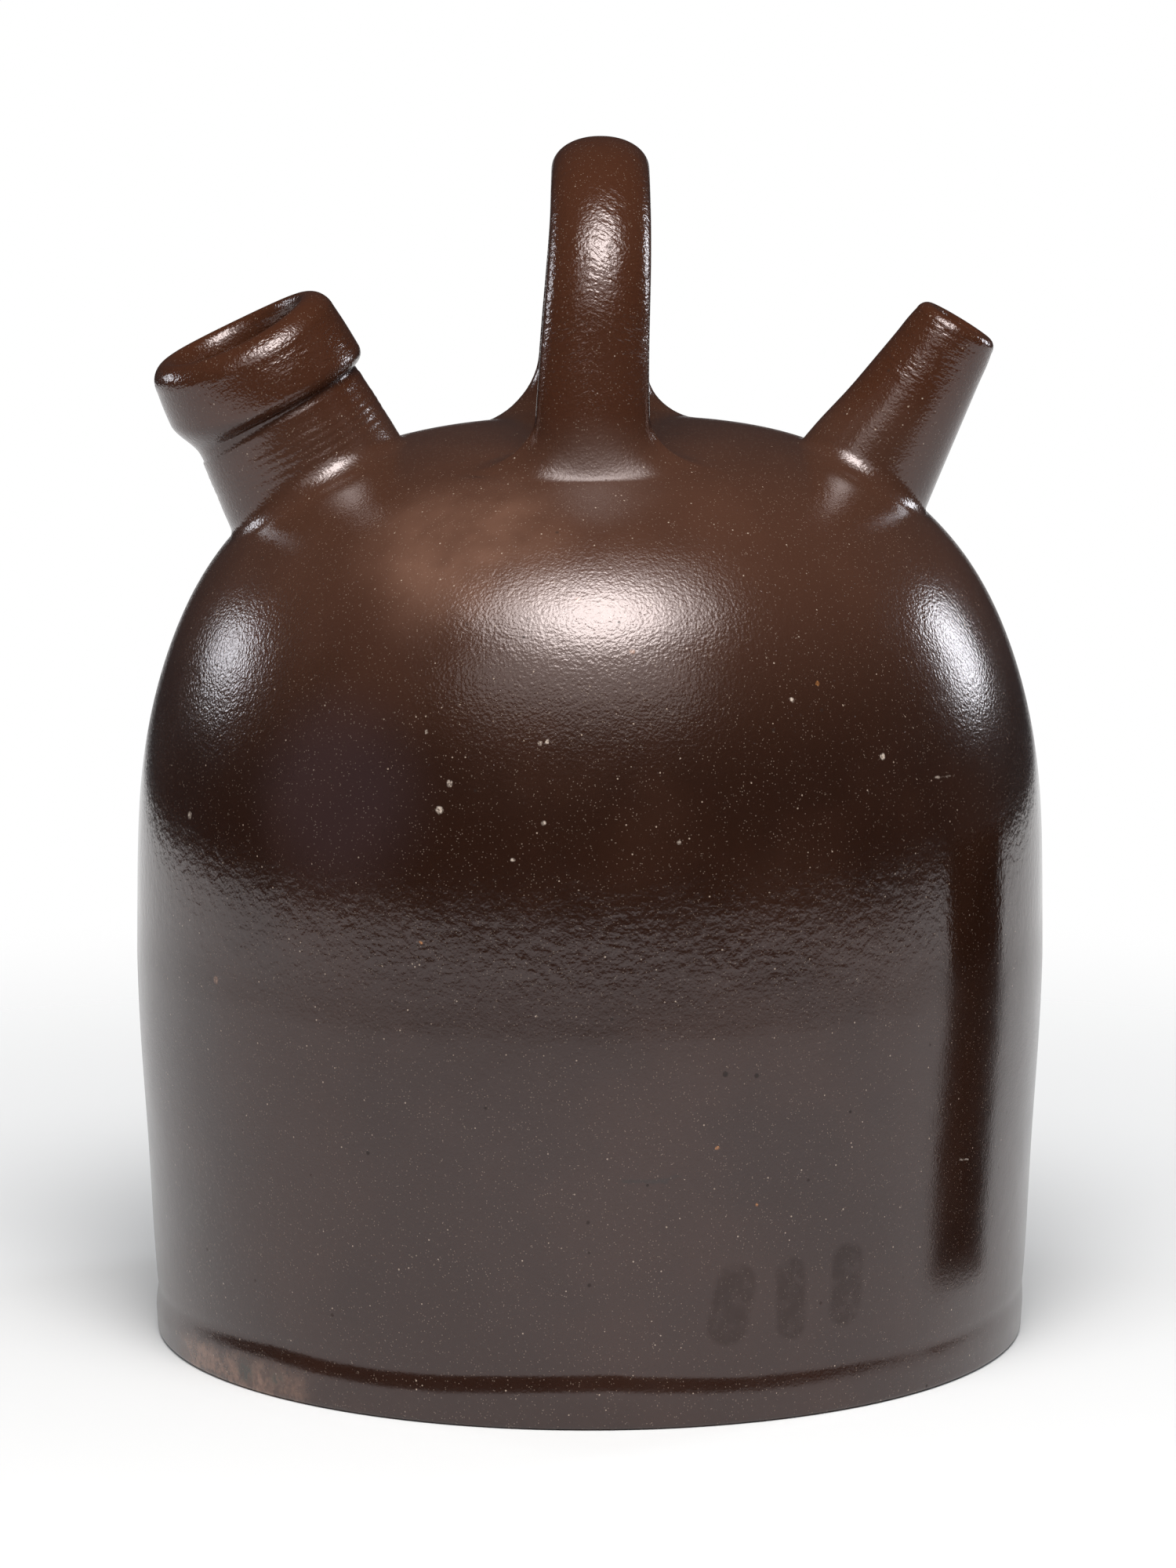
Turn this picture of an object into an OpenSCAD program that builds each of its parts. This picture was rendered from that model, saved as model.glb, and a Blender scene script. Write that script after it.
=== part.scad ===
// Harvest jug: glazed stoneware in one piece, with a collared filling spout,
// a narrow drinking spout and a stirrup handle over the crown.
// The origin is the centre of the underside, +Z is up, the filling spout leans
// towards -X, the drinking spout towards +X, and the handle spans from -Y to +Y.

/* [Body] */
// Radius at the widest ring
body_r = 100; // [92:1:112]
// Height of the widest ring
belly_z = 85; // [70:1:100]
// Rise of the dome above the widest ring
dome_h = 115.7; // [100:0.1:130]
// Squareness of the shoulder, where 2 is an ellipse
dome_power = 2.95; // [2.5:0.05:3.2]
// Radius of the wall where it would meet the ground
foot_r = 96; // [88:0.2:99]
// How late the wall leaves its taper, where 1 is a straight cone
wall_ease = 1.2; // [1:0.05:2]

/* [Foot] */
// Height of the middle of the turned groove above the foot bead
bead_h = 10.5; // [8:0.5:18]
// Depth of the turned groove
groove_d = 0.6; // [0.4:0.1:2]
// Half width of the turned groove
groove_w = 2.6; // [1.5:0.1:3.5]
// How far the foot bead stands proud of the wall
bead_out = 0.4; // [0.2:0.1:2]
// Rounding under the foot bead
foot_round = 2; // [1:0.5:4]

/* [Wall] */
// Thickness of the side wall
wall = 8; // [6:0.5:10]
// Thickness of the floor
floor_t = 9; // [7:0.5:13]
// Thickness of the dome at the crown
crown_t = 8; // [6:0.5:10]
// Rounding inside, between floor and wall
floor_round = 14; // [6:1:24]

/* [Filling spout] */
// Distance of the spout's root from the jug's axis
filler_out = 61.1; // [54:0.2:68]
// Lean from upright
filler_lean = 27.5; // [18:0.5:36]
// Length from the dome to the top of the lip
filler_len = 36; // [30:0.2:46]
// Radius of the neck just under the collar
neck_r = 19.6; // [18:0.1:21.5]
// Growth of the neck's radius down to the dome
neck_spread = 1.5; // [0:0.1:3]
// Radius of the collar at its widest, above the rounded underside
collar_r = 22.3; // [21.8:0.1:27]
// How much the collar narrows from there up to the lip
collar_taper = 0.8; // [0:0.1:1.5]
// Height of the collar
collar_h = 19; // [16:0.2:24]
// Height of the collar's rounded underside
collar_under = 3.4; // [2:0.2:7]
// Depth of the undercut where the neck enters the collar
collar_cut = 0.7; // [0.2:0.1:1.2]
// Radius of the circle along the crest of the lip
filler_crest_r = 17; // [16:0.1:19]
// Height of the lip's rounding outside
filler_roll = 5; // [3:0.2:9]
// Radius of the bore that takes the cork
filler_bore_r = 14.5; // [11:0.1:15.5]
// Length of the bore that takes the cork, below the lip's rounding
filler_bore_len = 26; // [20:0.5:28]
// Growth of the passage's radius from the ledge under the cork's bore to the inside of the jug
filler_flare = 2.5; // [0.5:0.1:3]
// Height of the lip's rounding inside
filler_throat = 4.5; // [2:0.1:8]

/* [Drinking spout] */
// Distance of the spout's root from the jug's axis
drink_out = 60.7; // [54:0.2:68]
// Lean from upright
drink_lean = 31; // [20:0.5:40]
// Length from the dome to the top of the tip
drink_len = 39; // [30:0.2:50]
// Radius at the dome
drink_root_r = 15.1; // [13:0.1:18]
// Radius just under the tip's rounding
drink_tip_r = 9.6; // [8.6:0.1:12]
// Radius of the circle along the crest of the tip
drink_crest_r = 7.4; // [6.4:0.1:8.4]
// Height of the tip's rounding outside
drink_roll = 2.6; // [1.5:0.1:4]
// Radius of the bore at the mouth
drink_bore_r = 4.5; // [3:0.1:6]
// Length of the straight bore below the mouth
drink_bore_len = 16; // [8:0.5:22]
// Growth of the passage's radius from the ledge under the bore to the inside of the jug
drink_flare = 4; // [2:0.1:5]
// Height of the tip's rounding inside
drink_throat = 2.5; // [1:0.1:5]

/* [Handle] */
// Clear height of the arch's centre line over the crown
handle_rise = 56.4; // [48:0.1:72]
// Radius of the arch's centre line
arch_r = 35.5; // [30:0.5:44]
// Outward lean of the legs below the arch
leg_lean = 9; // [3:0.5:14]
// Half width of the strap at the top of the arch
strap_w = 10.7; // [8:0.1:14]
// Growth of the half width down to the dome
strap_spread = 2; // [0:0.1:4]
// Thickness of the strap outside its centre line
strap_outer = 7.5; // [5:0.1:9]
// Thickness of the strap inside its centre line
strap_inner = 5.5; // [4:0.1:7]
// Squareness of the strap's section, where 2 is an ellipse
strap_power = 2.3; // [2:0.1:3.5]
// Sideways place of the handle, set by hand on the crown
handle_shift = 1.4; // [-3:0.1:3]

/* [Luted joints] */
// Clay drawn from the dome up round the filling spout
filler_fillet = 4; // [3:0.5:8]
// Clay drawn from the dome up round the drinking spout
drink_fillet = 5; // [3:0.5:8]
// Clay drawn from the dome up round each leg of the handle
leg_fillet = 11; // [6:0.5:13]

/* [Hidden] */
glaze = [0.23, 0.14, 0.10];
$fn = 96;

dome_steps = 26;      // stretches of the dome's outline
wall_steps = 9;       // stretches of the wall between groove and widest ring
arc_steps = 7;        // stretches of a small rounding
arch_steps = 20;      // stretches of the handle's arch
leg_steps = 5;        // stretches of each leg
strap_sides = 28;     // sides of the strap's section
root_sides = 40;      // sides of a luted joint
root_steps = 6;       // stretches of a luted joint's hollow
root_sink = 2;        // how deep a luted joint starts under the dome's surface
leg_sink = 4;         // how deep a leg of the handle is set into the dome
spout_sink = 10;      // how far a spout's neck runs down, before the cavity trims it
search_span = 60;     // length of the search for the dome's surface along an axis
search_steps = 18;    // halvings of that search
ledge = 0.5;          // width of the ledge at the inner end of a spout's bore
slack = 0.15;         // how far a luted joint starts inside the piece that it joins
over = 1;             // how far a cut passes the surface that it cuts

crown_z = belly_z + dome_h;
leg_turn = 90 - leg_lean;                          // half of the arch's sweep
arch_z = crown_z + handle_rise - arch_r;           // height of the arch's centre
leg_top = arch_r * [sin(leg_turn), cos(leg_turn)]; // where a leg leaves the arch, from the arch's centre

// Height of the dome's surface at a radius, a superellipse
function dome_z(r, rim = body_r, rise = dome_h) =
    belly_z + rise * pow(1 - pow(min(r / rim, 1), dome_power), 1 / dome_power);

// Point of a dome's outline at an angle from the widest ring to the crown
function dome_at(a, rim, rise) =
    [rim * pow(cos(a), 2 / dome_power), belly_z + rise * pow(sin(a), 2 / dome_power)];

// Radius of the wall at a height below the widest ring
function taper_r(z) = body_r - (body_r - foot_r) * pow(1 - z / belly_z, wall_ease);

// The same with the foot bead and the turned groove above it
function wall_r(z) =
    let (from_groove = (z - bead_h) / groove_w)
    taper_r(z) - groove_d * exp(-from_groove * from_groove) + bead_out / (1 + exp(6.6 * (from_groove + 1)));

// Points of an elliptical arc
function arc(centre, half_w, half_h, from, to, steps = arc_steps) =
    [for (i = [0:steps])
        let (a = from + (to - from) * i / steps)
        centre + [half_w * cos(a), half_h * sin(a)]];

// Heights from one value to another, without the last
function heights(from, to, steps) = [for (i = [0:steps - 1]) from + (to - from) * i / steps];

// Outline of the dome from just above the widest ring to the axis
function dome_line(rim, rise) =
    [for (i = [1:dome_steps - 1]) dome_at(90 * i / dome_steps, rim, rise), [0, belly_z + rise]];

module body_solid() {
    groove_top = bead_h + 2.5 * groove_w;
    side = concat(heights(foot_round, groove_top, 2 * arc_steps), heights(groove_top, belly_z, wall_steps));
    edge_r = wall_r(foot_round);
    rotate_extrude()
        polygon(concat(
            [[0, 0]],
            arc([edge_r - foot_round, foot_round], foot_round, foot_round, -90, 0, 4),
            [for (z = side) if (z > foot_round) [wall_r(z), z]],
            [[body_r, belly_z]],
            dome_line(body_r, dome_h)));
}

module cavity() {
    corner_z = floor_t + floor_round;
    corner_r = taper_r(corner_z) - wall;
    rotate_extrude()
        polygon(concat(
            [[0, floor_t]],
            arc([corner_r - floor_round, corner_z], floor_round, floor_round, -90, 0),
            [for (z = heights(corner_z, belly_z, wall_steps)) if (z > corner_z) [taper_r(z) - wall, z]],
            [[body_r - wall, belly_z]],
            dome_line(body_r - wall, dome_h - crown_t)));
}

// Puts what stands on the dome at its root, outwards in the direction turn
module at_root(out, lean, turn) {
    rotate([0, 0, turn])
        translate([out, 0, dome_z(out)])
            rotate([0, lean, 0])
                children();
}

// A point given along a root's own axes, in the frame of its direction outwards
function root_point(out, lean, p) =
    [out + p[0] * cos(lean) + p[2] * sin(lean), p[1], dome_z(out) - p[0] * sin(lean) + p[2] * cos(lean)];

// Height along a root's axis at which the dome's surface lies, by halving
function dome_on_axis(out, lean, x, y, low, high, left) =
    let (mid = (low + high) / 2, p = root_point(out, lean, [x, y, mid]))
    left == 0 ? mid
    : p[2] > dome_z(norm([p[0], p[1]])) ? dome_on_axis(out, lean, x, y, low, mid, left - 1)
    : dome_on_axis(out, lean, x, y, mid, high, left - 1);

// Mean of a ring of points
function middle(ring) = [for (k = [0:2]) [for (p = ring) p[k]] * [for (p = ring) 1] / len(ring)];

// A closed skin over rings that have as many points each
module skin(rings) {
    n = len(rings[0]);
    m = len(rings);
    sides = [for (j = [0:m - 2], i = [0:n - 1])
        let (a = j * n + i, b = j * n + (i + 1) % n)
        each [[a, a + n, b], [b, a + n, b + n]]];
    first = [for (i = [0:n - 1]) [i, (i + 1) % n, m * n]];
    last = [for (i = [0:n - 1]) [(m - 1) * n + (i + 1) % n, (m - 1) * n + i, m * n + 1]];
    points = concat([for (ring = rings) each ring], [middle(rings[0]), middle(rings[m - 1])]);
    polyhedron(points, concat(sides, first, last));
}

// Distance from the middle to the edge of a superelliptical section in the direction a
function section_r(a, half_w, outer, inner, power) =
    let (half_t = cos(a) > 0 ? outer : inner)
    pow(pow(abs(sin(a)) / half_w, power) + pow(abs(cos(a)) / half_t, power), -1 / power);

// Clay drawn up from the dome round a root: a hollow of the radius fillet that follows
// the dome, as high above it at each step as a quarter circle. section(h) is the joined
// piece's [half width, outer, inner] at the height h along the root's axis.
module luting(out, lean, fillet, section, power = 2) {
    reach = search_span / 2;
    rings = [for (j = [0:root_steps + 1])
        let (a = j > root_steps ? 90 : 80 * j / root_steps,
             rise = j > root_steps ? -root_sink : fillet * (1 - sin(a)))
        [for (i = [0:root_sides - 1])
            let (turn = -360 * i / root_sides,
                 foot = section(0),
                 edge = section_r(turn, foot[0], foot[1], foot[2], power),
                 foot_x = edge * cos(turn),
                 foot_y = edge * sin(turn),
                 foot_h = dome_on_axis(out, lean, foot_x, foot_y, -reach, reach, search_steps),
                 here = section(foot_h + rise),
                 r = section_r(turn, here[0], here[1], here[2], power) - slack + fillet * (1 - cos(a)),
                 x = r * cos(turn),
                 y = r * sin(turn),
                 h = dome_on_axis(out, lean, x, y, -reach, reach, search_steps))
            root_point(out, lean, [x, y, h + rise])]];
    skin(rings);
}

// The filling spout: a spreading neck under a heavy collar with a rolled lip
module filling_spout() {
    base = filler_len - collar_h;
    shoulder = filler_len - filler_roll;
    lip_r = collar_r - collar_taper;
    cut_r = neck_r - collar_cut;
    function neck_at(h) = neck_r + neck_spread * (1 - h / base);
    at_root(filler_out, filler_lean, 180)
        rotate_extrude()
            polygon(concat(
                [[0, -spout_sink], [neck_at(-spout_sink), -spout_sink]],
                [[neck_at(base - 2 * collar_cut), base - 2 * collar_cut], [cut_r, base]],
                arc([cut_r, base + collar_under], collar_r - cut_r, collar_under, -75, 0),
                arc([filler_crest_r, shoulder], lip_r - filler_crest_r, filler_roll, 0, 90),
                [[0, filler_len]]));
    rotate([0, 0, 180])
        luting(filler_out, filler_lean, filler_fillet,
               function (h) [neck_at(h), neck_at(h), neck_at(h)]);
}

// The cut through a spout that stands on the dome: rounded throat, straight bore, a
// narrow ledge, and below it a cone that widens into the cavity
module spout_bore(len, crest_r, bore_r, bore_len, throat, flare) {
    seat = len - throat;
    width = crest_r - bore_r;
    low = seat - bore_len;
    deep = -search_span / 3;
    translate([0, 0, low])
        cylinder(r = bore_r, h = len - low);
    translate([0, 0, deep])
        cylinder(r1 = bore_r + ledge + flare, r2 = bore_r + ledge, h = low - deep);
    rotate_extrude()
        polygon(concat(
            [[0, seat]],
            arc([crest_r, seat], width, throat, 180, 90),
            [[crest_r, len + over], [0, len + over]]));
}

module filling_bore() {
    at_root(filler_out, filler_lean, 180)
        spout_bore(filler_len, filler_crest_r, filler_bore_r, filler_bore_len, filler_throat, filler_flare);
}

// The drinking spout: a cone with a softly rounded tip
module drinking_spout() {
    shoulder = drink_len - drink_roll;
    function cone_at(h) = drink_tip_r + (drink_root_r - drink_tip_r) * (1 - h / shoulder);
    at_root(drink_out, drink_lean, 0)
        rotate_extrude()
            polygon(concat(
                [[0, -spout_sink], [cone_at(-spout_sink), -spout_sink]],
                arc([drink_crest_r, shoulder], drink_tip_r - drink_crest_r, drink_roll, 0, 90),
                [[0, drink_len]]));
    luting(drink_out, drink_lean, drink_fillet, function (h) [cone_at(h), cone_at(h), cone_at(h)]);
}

module drinking_bore() {
    at_root(drink_out, drink_lean, 0)
        spout_bore(drink_len, drink_crest_r, drink_bore_r, drink_bore_len, drink_throat, drink_flare);
}

// Ring of the strap round a point of its centre line, where dir is the outward
// direction from the arch's inside to its outside
function strap_ring(y, z, dir, half_w) =
    [for (i = [0:strap_sides - 1])
        let (a = 360 * i / strap_sides, r = section_r(a, half_w, strap_outer, strap_inner, strap_power))
        [handle_shift + r * sin(a), y + r * cos(a) * sin(dir), z + r * cos(a) * cos(dir)]];

// The stirrup handle: an arch with legs that lean outwards and spread onto the dome
module handle() {
    leg_len = leg_reach(leg_top);
    arch_len = arch_r * leg_turn * PI / 180;
    foot_out = leg_top[0] + leg_len * sin(leg_lean);
    // Half width at a distance along the centre line from the top of the arch
    function width(along) = strap_w + strap_spread * pow(along / (arch_len + leg_len), 2);
    // Ring of a leg at a distance from the arch, on the side -1 or 1
    function leg_ring(side, down) =
        strap_ring(side * (leg_top[0] + down * sin(leg_lean)), arch_z + leg_top[1] - down * cos(leg_lean),
                   side * leg_turn, width(arch_len + down));
    step = (leg_len + leg_sink) / leg_steps;
    skin(concat(
        [for (i = [0:leg_steps - 1]) leg_ring(-1, (leg_steps - i) * step)],
        [for (i = [0:arch_steps])
            let (a = leg_turn * (2 * i / arch_steps - 1))
            strap_ring(arch_r * sin(a), arch_z + arch_r * cos(a), a, width(arch_len * abs(a) / leg_turn))],
        [for (i = [1:leg_steps]) leg_ring(1, i * step)]));
    for (turn = [-90, 90])
        translate([handle_shift, 0, 0])
            rotate([0, 0, turn])
                luting(foot_out, -leg_lean, leg_fillet,
                       function (h) [width(arch_len + leg_len - h), strap_outer, strap_inner], strap_power);
}

// Length of a leg's centre line from the arch down to the dome, by halving
function leg_reach(top, low = 0, high = 2 * search_span, left = search_steps) =
    let (mid = (low + high) / 2)
    left == 0 ? mid
    : arch_z + top[1] - mid * cos(leg_lean) > dome_z(top[0] + mid * sin(leg_lean))
        ? leg_reach(top, mid, high, left - 1)
    : leg_reach(top, low, mid, left - 1);

module jug() {
    color(glaze)
        difference() {
            union() {
                body_solid();
                filling_spout();
                drinking_spout();
                handle();
            }
            cavity();
            filling_bore();
            drinking_bore();
        }
}

jug();
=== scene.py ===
# Looks for the stoneware harvest jug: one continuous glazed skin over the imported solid,
# its slip glaze, and a pale table under soft lamps.
import math

import bmesh
import bpy
import numpy as np
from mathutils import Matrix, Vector
from mathutils.geometry import delaunay_2d_cdt


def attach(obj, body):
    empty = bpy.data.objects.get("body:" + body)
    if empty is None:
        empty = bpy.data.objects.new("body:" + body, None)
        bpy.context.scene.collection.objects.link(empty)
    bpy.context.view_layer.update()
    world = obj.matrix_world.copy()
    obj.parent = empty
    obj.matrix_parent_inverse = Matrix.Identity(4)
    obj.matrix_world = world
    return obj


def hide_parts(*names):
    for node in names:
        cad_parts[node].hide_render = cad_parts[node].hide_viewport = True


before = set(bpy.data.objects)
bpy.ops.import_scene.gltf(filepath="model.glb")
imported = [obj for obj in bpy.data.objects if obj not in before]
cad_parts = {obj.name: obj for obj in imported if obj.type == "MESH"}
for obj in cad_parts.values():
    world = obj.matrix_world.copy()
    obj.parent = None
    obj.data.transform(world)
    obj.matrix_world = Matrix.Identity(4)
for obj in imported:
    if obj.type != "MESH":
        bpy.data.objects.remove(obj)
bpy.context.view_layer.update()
print("frame loaded")

mm = 0.001


# Shapes in millimetres

body = dict(
    rim=100.0, belly=85.0, rise=115.7, power=2.95,       # dome: a superellipse from the widest ring up
    footRim=95.7, ease=1.2,                              # wall: nearly straight taper down to the foot
    beadHeight=9.6, beadSpan=5.8, footRound=1.1,
    grooveDepth=0.10, grooveAt=0.45, grooveWidth=0.25,   # place and width in spans of the bead
    # how far the bead under the groove stands out at these angles from the front, to the right
    beadAngles=(-180, -90, -62, -15, 10, 40, 65, 90, 180),
    beadOut=(0.6, 0.70, 1.05, 1.05, 0.90, 0.72, 0.45, 0.28, 0.6),
    # how far the hand-cut groove dips at these angles from the front, to the right
    dipAngles=(-180, -90, -72, -56, -45, -36, -28, -20, -10, 2, 9, 20, 40, 52, 90, 180),
    dips=(1.5, 2.1, 2.0, 0.6, 0.0, 0.8, 1.1, 0.9, 0.0, -0.6, 0.2, 1.3, 1.4, 1.9, 1.6, 1.5),
    wall=8.0, floor=9.0, crown=8.0, floorRound=14.0,
    around=300, innerAround=120, spacing=2.3, innerSpacing=6.0, seamHeight=128.0,
    footBand=20.0, footStep=0.6, wallStep=2.0,           # finer rings over the bead and groove
)


def smooth(x, low, high):
    # 3 t^2 - 2 t^3, where t goes from 0 at low to 1 at high
    t = np.clip((x - low) / (high - low), 0, 1)
    return t * t * (3 - 2 * t)


def evenAngles(count):
    # one turn in even steps, without its end
    return np.arange(count) * 2 * np.pi / count


def superDome(r, rim, rise):
    # z = belly + rise * (1 - (r/rim)^p)^(1/p)
    p = body["power"]
    return body["belly"] + rise * (1 - np.minimum(r / rim, 1) ** p) ** (1 / p)


def outerDome(r):
    # the dome's outside
    return superDome(r, body["rim"], body["rise"])


def innerDome(r):
    # the dome's inside, a wall and a crown smaller
    return superDome(r, body["rim"] - body["wall"], body["rise"] - body["crown"])


def plainTaper(z):
    # rim - (rim - foot) * (1 - z/belly)^ease
    share = 1 - np.minimum(z / body["belly"], 1)
    return body["rim"] - (body["rim"] - body["footRim"]) * share ** body["ease"]


def wallRadius(z, t):
    # the taper, less a slight groove, plus a soft step outwards below the groove line
    side = (np.degrees(t) + 90 + 180) % 360 - 180
    sink = np.interp(side, body["dipAngles"], body["dips"])
    k = (z - body["beadHeight"] + sink) / body["beadSpan"]
    groove = body["grooveDepth"] * np.exp(-((k - body["grooveAt"]) / body["grooveWidth"]) ** 2)
    bead = np.interp(side, body["beadAngles"], body["beadOut"]) * (1 - smooth(k, -0.5, 0.5))
    return plainTaper(z) - groove + bead


def arcPoints(centreR, centreZ, halfR, halfZ, start, end, count):
    # (centre + half * (cos a, sin a)) for a from start to end, in degrees
    a = np.radians(np.linspace(start, end, count))
    return np.stack([centreR + halfR * np.cos(a), centreZ + halfZ * np.sin(a)], 1)


def ringGrid(rings, closeFirst=False):
    # rings[j, i] is point i of ring j; triangles join each ring to the next, a fan closes the first
    rings = np.asarray(rings)
    m, n = rings.shape[:2]
    points = rings.reshape(-1, 3)
    j, i = np.meshgrid(np.arange(m - 1), np.arange(n), indexing="ij")
    a = (j * n + i).ravel()
    b = (j * n + (i + 1) % n).ravel()
    faces = [np.stack([a, b, b + n], 1), np.stack([a, b + n, a + n], 1)]
    if closeFirst:
        i = np.arange(n)
        faces.append(np.stack([np.full(n, len(points)), (i + 1) % n, i], 1))
        points = np.vstack([points, rings[0].mean(0)])
    return points, np.vstack(faces)


def standing(r, z, t):
    # (r cos t, r sin t, z) for rings round the upright axis, whose radius may vary with t
    return np.stack([r * np.cos(t), r * np.sin(t), z + 0 * t * r], -1)


def turned(profile, around):
    # the same for every point (r, z) of a profile
    return standing(profile[:, 0, None], profile[:, 1, None], evenAngles(around))


class DomeMap:
    # the dome laid flat: a point at angle t and arc length s from the crown goes to (s cos t, s sin t)
    def __init__(self, rim, rise, steps=4000):
        a = np.linspace(np.pi / 2, 0, steps)
        e = 2 / body["power"]
        self.r = rim * np.maximum(np.cos(a), 0) ** e
        self.z = body["belly"] + rise * np.sin(a) ** e
        self.r[0] = 0
        self.s = np.concatenate([[0], np.cumsum(np.hypot(np.diff(self.r), np.diff(self.z)))])

    def flat(self, points):
        # from the dome to the plane: scale (x, y) by s / r
        r = np.hypot(points[:, 0], points[:, 1])
        s = np.interp(r, self.r, self.s)
        return points[:, :2] * (s / np.maximum(r, 1e-9))[:, None]

    def lift(self, flat):
        # and back: scale by r / s, with z read at s
        s = np.hypot(flat[:, 0], flat[:, 1])
        r = np.interp(s, self.s, self.r)
        z = np.interp(s, self.s, self.z)
        return np.column_stack([flat * (r / np.maximum(s, 1e-9))[:, None], z])

    def shoulder(self, count):
        # the profile (r, z) from the widest ring up to the seam, in even steps of arc length
        seam = np.interp(body["seamHeight"], self.z[::-1], self.s[::-1])
        s = np.linspace(self.s[-1], seam, count)
        return np.column_stack([np.interp(s, self.s, self.r), np.interp(s, self.s, self.z)])


def insideLoop(points, loop):
    # even-odd test of every point against a closed loop
    x, y = points[:, 0, None], points[:, 1, None]
    ax, ay = loop[:, 0], loop[:, 1]
    bx, by = np.roll(ax, -1), np.roll(ay, -1)
    crosses = (ay > y) != (by > y)
    at = ax + (y - ay) / np.where(by == ay, 1, by - ay) * (bx - ax)
    return (crosses & (x < at)).sum(1) % 2 == 1


def domePatch(dome, outer, loops, spacing):
    # triangles over the flattened dome, from an even lattice between its outer ring
    # and the loops cut out of it
    borderGap, loopGap = 0.7 * spacing, 0.6 * spacing
    border = dome.flat(outer)
    holes = [dome.flat(loop) for loop in loops]
    limit = np.hypot(border[:, 0], border[:, 1]).min() - borderGap
    count = int(limit / spacing) + 2
    columns, rows = np.arange(-count, count + 1), np.arange(-2 * count, 2 * count + 1)
    i, j = np.meshgrid(columns, rows, indexing="ij")
    rowHeight = math.sqrt(0.75)                          # of equal-sided triangles
    lattice = np.stack([(i + 0.5 * (j % 2)).ravel() * spacing, j.ravel() * spacing * rowHeight], 1)
    keep = np.hypot(lattice[:, 0], lattice[:, 1]) < limit
    for hole in holes:
        near = np.sqrt(((lattice[:, None, :] - hole[None]) ** 2).sum(-1).min(1))
        keep &= (near > loopGap) & ~insideLoop(lattice, hole)
    lattice = lattice[keep]
    flat = np.vstack([border, *holes, lattice])
    edges, start = [], 0
    for ring in [border, *holes]:
        k = np.arange(len(ring))
        edges.append(np.stack([start + k, start + (k + 1) % len(ring)], 1))
        start += len(ring)
    out = delaunay_2d_cdt([Vector(p) for p in flat.tolist()], np.vstack(edges).tolist(), [], 0, 1e-6)
    made = np.array([tuple(v) for v in out[0]])
    faces = np.array([f for f in out[2] if len(f) == 3])
    middle = made[faces].mean(1)
    keep = insideLoop(middle, border)
    for hole in holes:
        keep &= ~insideLoop(middle, hole)
    points = dome.lift(made)
    exact = np.vstack([outer, *loops])
    for new, old in enumerate(out[3]):                   # the ring points keep their exact places
        if old and old[0] < len(exact):
            points[new] = exact[old[0]]
    return points, faces[keep]


def rootFrame(out, lean, turn, side=0.0):
    # origin on the dome and the axes of what stands there: x downhill, y across, z along the piece
    lean, turn = math.radians(lean), math.radians(turn)
    c, s = math.cos(turn), math.sin(turn)
    origin = np.array([out * c + side, out * s, outerDome(out)])
    x = np.array([math.cos(lean) * c, math.cos(lean) * s, -math.sin(lean)])
    z = np.array([math.sin(lean) * c, math.sin(lean) * s, math.cos(lean)])
    return dict(origin=origin, x=x, y=np.array([-s, c, 0.0]), z=z, side=side)


def fromRoot(root, x, y, h):
    # origin + x X + y Y + h Z, in the root's own axes
    return root["origin"] + x[..., None] * root["x"] + y[..., None] * root["y"] + h[..., None] * root["z"]


def ringAt(root, r, angle, h):
    # the ring (r cos t, r sin t, h) in the root's own axes
    return fromRoot(root, r * np.cos(angle), r * np.sin(angle), h)


def heightOnDome(root, x, y, dome):
    # halving: the height along the root's axis where a dome's surface lies
    low, high = np.full(x.shape, -45.0), np.full(x.shape, 45.0)
    for step in range(40):
        mid = (low + high) / 2
        p = fromRoot(root, x, y, mid)
        above = p[..., 2] > dome(np.hypot(p[..., 0] - root["side"], p[..., 1]))
        low, high = np.where(above, low, mid), np.where(above, mid, high)
    return (low + high) / 2


def lutedFoot(root, angle, section, run, climb, steps):
    # clay drawn up from the dome, for a from 90 degrees to 0:
    # r = section + run (1 - cos a), height = dome + climb (1 - sin a)
    rings = []
    foot = section(np.zeros_like(angle))
    footHeight = heightOnDome(root, foot * np.cos(angle), foot * np.sin(angle), outerDome)
    for a in np.radians(np.linspace(90, 0, steps + 1)):
        rise = climb * (1 - math.sin(a))
        r = section(footHeight + rise) + run * (1 - math.cos(a))
        top = heightOnDome(root, r * np.cos(angle), r * np.sin(angle), outerDome) + rise
        rings.append(ringAt(root, r, angle, top))
    return rings, top


# The two spouts

filler = dict(
    out=61.1, lean=27.5, turn=180, length=36.0, neck=19.6, spread=1.5,
    collar=22.3, taper=0.8, bulge=0.1, collarHeight=19.0, under=3.0, cut=0.15,
    crest=17.0, roll=5.0, bore=14.5, throat=4.5, boreLength=26.0, ledge=0.5, flare=2.5,
    ringDepth=0.040, ringFade=0.025,                     # throwing rings on the neck
    # the collar's outer side runs into the neck in a soft curve, at these heights from the collar's base
    softFrom=-3.5, softTo=6.5, curveFrom=-2.0, curveTo=7.0, inset=0.05,
    fillet=5.0, tight=3.6, around=150, filletSteps=8, neckSteps=30,
)
drinker = dict(
    out=60.7, lean=31.0, turn=0, length=39.0, rootRadius=15.1, tip=9.6,
    crest=7.4, roll=2.6, bore=4.5, throat=2.5, boreLength=16.0, ledge=0.5, flare=4.0,
    swell=0.12, swellAt=33.5, swellWidth=2.5,            # a faint thickening below the tip
    fillet=4.6, tight=3.6, around=110, filletSteps=9, neckSteps=40,
)


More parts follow.
